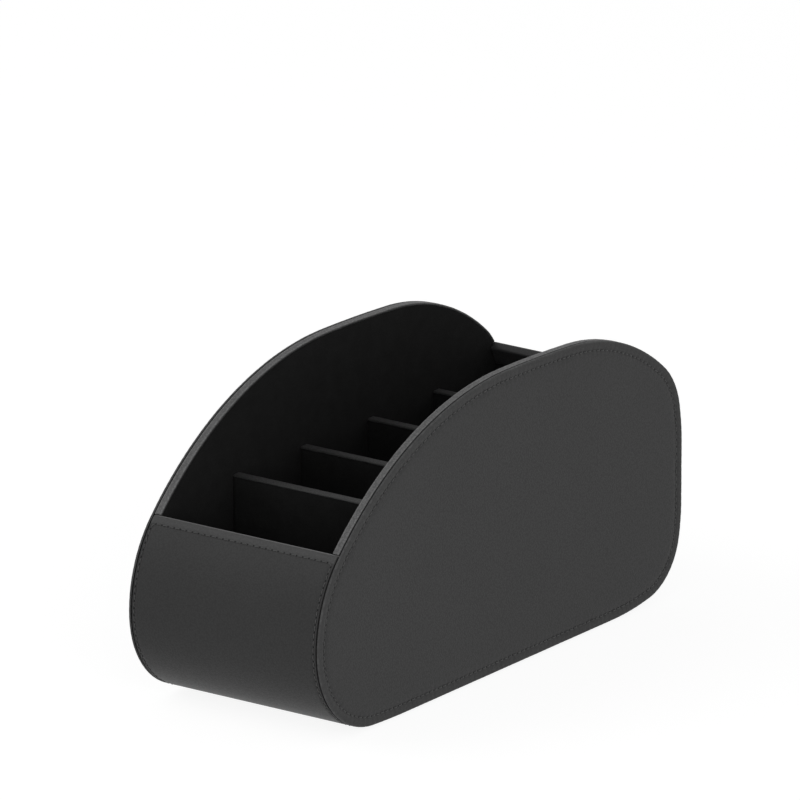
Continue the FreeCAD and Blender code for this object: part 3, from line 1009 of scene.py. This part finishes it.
def base_felt():
    """Soft pad under the flat of the base, its lower edge rounded."""
    half_length = BASE_LENGTH / 2 - PAD_END_MARGIN
    half_width = SEAM_X - PAD_SIDE_MARGIN
    middle_y = -OVERALL_LENGTH / 2 + BASE_START_FROM_FRONT + PAD_END_MARGIN + half_length
    corner_x, corner_y = half_width - PAD_CORNER_RADIUS, half_length - PAD_CORNER_RADIUS

    def loop(inset, z):
        """A rounded rectangle of points at a height, inset from the pad's outline."""
        points = []
        for cx, cy, start in ((corner_x, corner_y, 0), (-corner_x, corner_y, 90),
                              (-corner_x, -corner_y, 180), (corner_x, -corner_y, 270)):
            points += arc((cx, cy), PAD_CORNER_RADIUS - inset, start, start + 90, 12)
        return np.array([(px, middle_y + py, z) for px, py in points])

    loops = [loop(3.0, 1.08), loop(0.02, 1.08), loop(0.0, 0.55), loop(0.08, 0.25),
             loop(0.3, 0.06), loop(0.7, 0.0), loop(3.0, 0.0)]
    return plate("pad_felt", loops, PAD_FELT)


for side, side_name in SIDES:
    finish_piece(side_felt("side_felt_" + side_name, side), "lining", "side_lining_" + side_name)
finish_piece(wrap_felt(), "lining", "wrap_lining")
for number in range(DIVIDER_COUNT):
    divider_y = -OVERALL_LENGTH / 2 + FIRST_DIVIDER_FROM_FRONT + number * DIVIDER_PITCH
    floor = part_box("divider_lining_%d" % (number + 1))[0].z / MM + FELT_CLEARANCE
    piece = divider_felt("divider_felt_%d" % (number + 1), divider_y, floor)
    finish_piece(piece, "lining", "divider_lining_%d" % (number + 1))
    finish_piece(divider_strip("divider_strip_%d" % (number + 1), divider_y), "rim_leather")
finish_piece(base_felt(), "pad", "base_pad")


# Boards

for name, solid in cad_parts.items():
    if "board" in name:
        solid.data.materials.clear()
        solid.data.materials.append(BOARD)


# Stage

def seen(tree):
    """1 where the camera sees a thing, also in a reflection or through glass, and 0 for light."""
    rays = tree.nodes.new("ShaderNodeLightPath").outputs
    direct = math_node(tree, "MAXIMUM", rays["Is Camera Ray"], rays["Is Glossy Ray"])
    return math_node(tree, "MAXIMUM", direct, rays["Is Transmission Ray"])


def lit_or_seen(tree, output, lit, view):
    """One shader for the light that a thing gives the holder, and another where it is seen."""
    mix = tree.nodes.new("ShaderNodeMixShader")
    tree.links.new(seen(tree), mix.inputs[0])
    tree.links.new(lit.outputs[0], mix.inputs[1])
    tree.links.new(view.outputs[0], mix.inputs[2])
    tree.links.new(mix.outputs[0], output.inputs["Surface"])


def floor_finish():
    """White floor: the camera sees it nearly white, with the holder's shadow on it."""
    material, tree, output = new_material("floor")
    bounce = node(tree, "ShaderNodeBsdfDiffuse", Color=(FLOOR_BOUNCE,) * 3 + (1.0,))
    shaded = node(tree, "ShaderNodeBsdfDiffuse", Color=(FLOOR_SHADE,) * 3 + (1.0,))
    glow = node(tree, "ShaderNodeEmission", Color=(1.0, 1.0, 1.0, 1.0), Strength=FLOOR_GLOW)
    both = tree.nodes.new("ShaderNodeAddShader")
    tree.links.new(shaded.outputs[0], both.inputs[0])
    tree.links.new(glow.outputs[0], both.inputs[1])
    lit_or_seen(tree, output, bounce, both)
    return material


def make_floor():
    """A large square floor at the holder's foot."""
    reach = FLOOR_REACH / MM
    points = [(-reach, -reach, 0.0), (reach, -reach, 0.0), (reach, reach, 0.0), (-reach, reach, 0.0)]
    floor = mesh_object("floor", points, [(0, 1, 2, 3)], floor_finish())


def make_world():
    """A soft sky, brightest at the horizon, which the camera sees as plain white."""
    world = bpy.data.worlds.new("studio")
    world.use_nodes = True
    tree = world.node_tree
    tree.nodes.clear()
    output = tree.nodes.new("ShaderNodeOutputWorld")
    height = tree.nodes.new("ShaderNodeSeparateXYZ")
    tree.links.new(tree.nodes.new("ShaderNodeTexCoord").outputs["Generated"], height.inputs[0])
    soft = node(tree, "ShaderNodeBackground", Color=(1.0, 1.0, 1.0, 1.0))
    tree.links.new(ramp(tree, height.outputs["Z"], HORIZON_LIGHT, ZENITH_LIGHT),
                   soft.inputs["Strength"])
    white = node(tree, "ShaderNodeBackground", Color=(1.0, 1.0, 1.0, 1.0), Strength=1.0)
    lit_or_seen(tree, output, soft, white)
    bpy.context.scene.world = world


def soft_light(name, direction, distance, size, power):
    """A square soft box that faces the holder from a direction, in metres and watts."""
    lamp = bpy.data.lights.new(name, "AREA")
    lamp.shape = "SQUARE"
    lamp.size = size
    lamp.energy = power
    box = bpy.data.objects.new(name, lamp)
    away = Vector(direction).normalized()
    box.location = Vector(LIGHT_TARGET) + away * distance
    box.rotation_mode = "QUATERNION"
    box.rotation_quaternion = (-away).to_track_quat("-Z", "Y")
    bpy.context.scene.collection.objects.link(box)


def make_camera():
    """The camera, at the photograph's angle and scale."""
    a, e = math.radians(CAMERA_AZIMUTH), math.radians(CAMERA_ELEVATION)
    back = Vector((math.sin(a) * math.cos(e), -math.cos(a) * math.cos(e), math.sin(e)))
    right = Vector((math.cos(a), math.sin(a), 0.0))
    up = back.cross(right)
    half = PICTURE_PIXELS / 2
    to_right = (half - ORIGIN_PIXEL[0]) / PIXELS_PER_MM
    to_top = (ORIGIN_PIXEL[1] - half) / PIXELS_PER_MM
    lens = bpy.data.cameras.new("camera")
    lens.sensor_width = SENSOR_WIDTH
    lens.lens = PIXELS_PER_MM * CAMERA_DISTANCE / PICTURE_PIXELS * SENSOR_WIDTH
    lens.clip_start, lens.clip_end = (reach * MM for reach in CLIP_RANGE)
    camera = bpy.data.objects.new("camera", lens)
    middle = right * to_right + up * to_top + back * CAMERA_DISTANCE
    turned = Matrix((right, up, back)).transposed().to_4x4()
    camera.matrix_world = Matrix.Translation(middle * MM) @ turned
    bpy.context.scene.collection.objects.link(camera)
    bpy.context.scene.camera = camera


make_camera()
make_floor()
make_world()
soft_light("key", direction=(-0.56, -0.45, 0.7), distance=1.6, size=1.1, power=4.5)
soft_light("fill", direction=(0.75, -0.6, 0.3), distance=1.8, size=1.2, power=9.0)
bpy.context.scene.view_settings.view_transform = "Standard"
